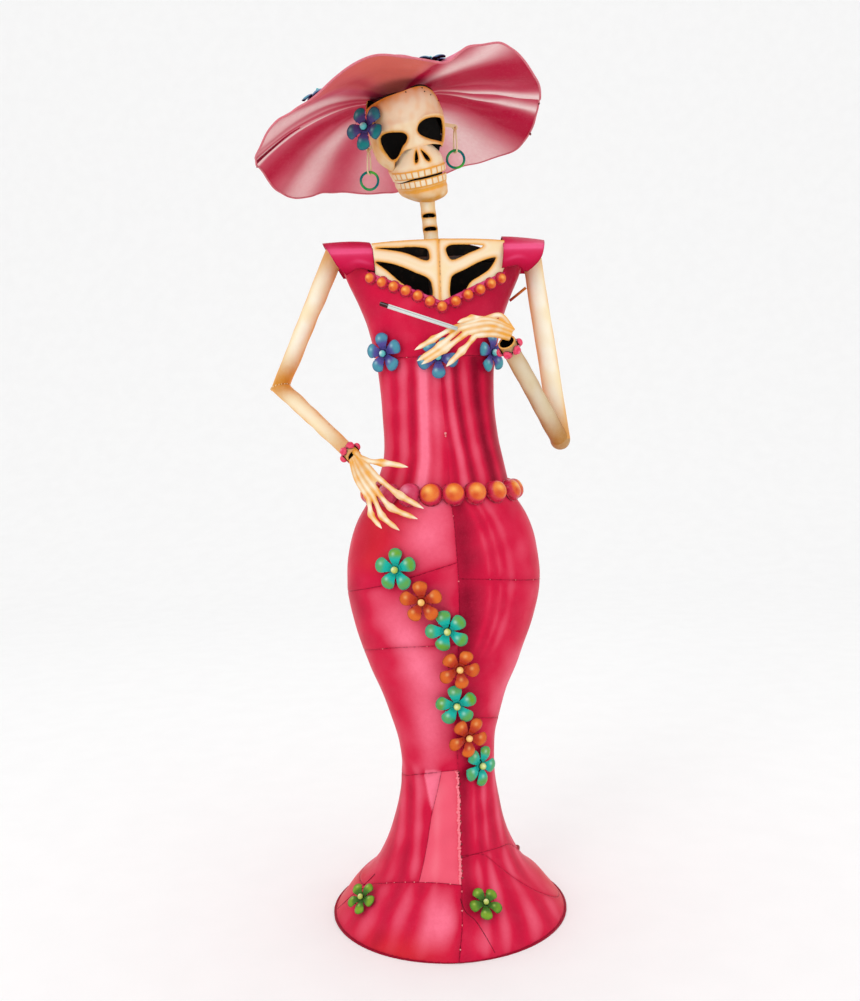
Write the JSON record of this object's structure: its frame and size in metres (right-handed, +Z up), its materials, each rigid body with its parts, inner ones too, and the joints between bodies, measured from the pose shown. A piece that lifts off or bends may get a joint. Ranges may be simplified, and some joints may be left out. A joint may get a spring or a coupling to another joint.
{
  "type": "standing figure",
  "caption": "Standing skeleton lady in a long fitted dress and a wide wavy hat, one hand on the hip and one raised, in painted sheet metal.",
  "frame": {"origin": "centre of the base plate's underside", "axes": "+Z up; the figure faces -Y, with its own right arm towards -X"},
  "size_m": [0.3548, 0.3341, 0.9841],
  "materials": {
    "dress": "semi-gloss enamel, airbrushed",
    "gore": "semi-gloss enamel, airbrushed",
    "sleeve": "semi-gloss enamel",
    "bone": "satin enamel, ochre airbrushed edges",
    "hat": "satin enamel, airbrushed bands",
    "orange_domes": "gloss enamel",
    "bracelet": "gloss enamel",
    "petals_turquoise": "gloss enamel",
    "petals_orange": "gloss enamel",
    "petals_green": "gloss enamel",
    "petals_blue": "gloss enamel",
    "studs": "gloss enamel",
    "inner_steel": "bare mild steel",
    "base": "semi-gloss enamel",
    "cigarette": "satin enamel, dark tip",
    "stay": "satin enamel",
    "ring_green": "gloss enamel",
    "link_cream": "satin enamel"
  },
  "bodies": {
    "figure": {"arm_stay": "stay", "base_plate": "base", "belt_domes": "orange_domes", "bodice_back_left": "dress", "bodice_back_right": "dress", "bodice_flowers": "petals_blue", "bodice_front_left": "dress", "bodice_front_right": "dress", "bracelet_left": "bracelet", "bracelet_right": "bracelet", "cheekbones": "bone", "cigarette": "cigarette", "ear_eyelets": "bone", "forearm_left": "bone", "forearm_right": "bone", "hand_left": "bone", "hand_right": "bone", "hat_brim": "hat", "hat_crown": "hat", "hat_flowers": "petals_blue", "hem_band_left": "dress", "hem_band_right": "dress", "hem_flowers": "petals_green", "hem_hoop": "inner_steel", "lower_jaw": "bone", "neck_tube": "bone", "necklace_domes": "orange_domes", "rib_plate_left": "bone", "rib_plate_right": "bone", "shoulder_bar": "inner_steel", "skirt_flare_left": "dress", "skirt_flare_right": "dress", "skirt_flowers_orange": "petals_orange", "skirt_flowers_turquoise": "petals_turquoise", "skirt_gore_front": "gore", "skirt_hip_left": "dress", "skirt_hip_right": "dress", "skirt_knee_left": "dress", "skirt_knee_right": "dress", "skirt_studs": "studs", "skirt_thigh_left": "dress", "skirt_thigh_right": "dress", "skull_back": "bone", "skull_face": "bone", "sleeve_cap_left": "sleeve", "sleeve_cap_right": "sleeve", "small_studs": "studs", "spine_rod": "inner_steel", "teeth_lower": "bone", "teeth_upper": "bone", "temple_flower": "petals_blue", "upper_arm_left": "bone", "upper_arm_right": "bone", "upper_jaw": "bone", "waist_left": "dress", "waist_right": "dress"},
    "link_right": {"earring_link_right": "link_cream"},
    "ring_right": {"earring_ring_right": "ring_green"},
    "link_left": {"earring_link_left": "link_cream"},
    "ring_left": {"earring_ring_left": "ring_green"}
  },
  "joints": [
    {"name": "link_right_swing", "type": "hinge", "parent": "figure", "child": "link_right", "pos_m": [-0.0665, -0.01, 0.881], "axis": [0.5, 0.866, 0], "range_deg": [-20, 50]},
    {"name": "ring_right_swing", "type": "hinge", "parent": "link_right", "child": "ring_right", "pos_m": [-0.0665, -0.01, 0.8552], "axis": [1, 0, 0], "range_deg": [-45, 45]},
    {"name": "link_left_swing", "type": "hinge", "parent": "figure", "child": "link_left", "pos_m": [0.032, 0, 0.905], "axis": [0.5, -0.866, 0], "range_deg": [-8, 50]},
    {"name": "ring_left_swing", "type": "hinge", "parent": "link_left", "child": "ring_left", "pos_m": [0.032, 0, 0.8792], "axis": [1, 0, 0], "range_deg": [-45, 45]}
  ]
}
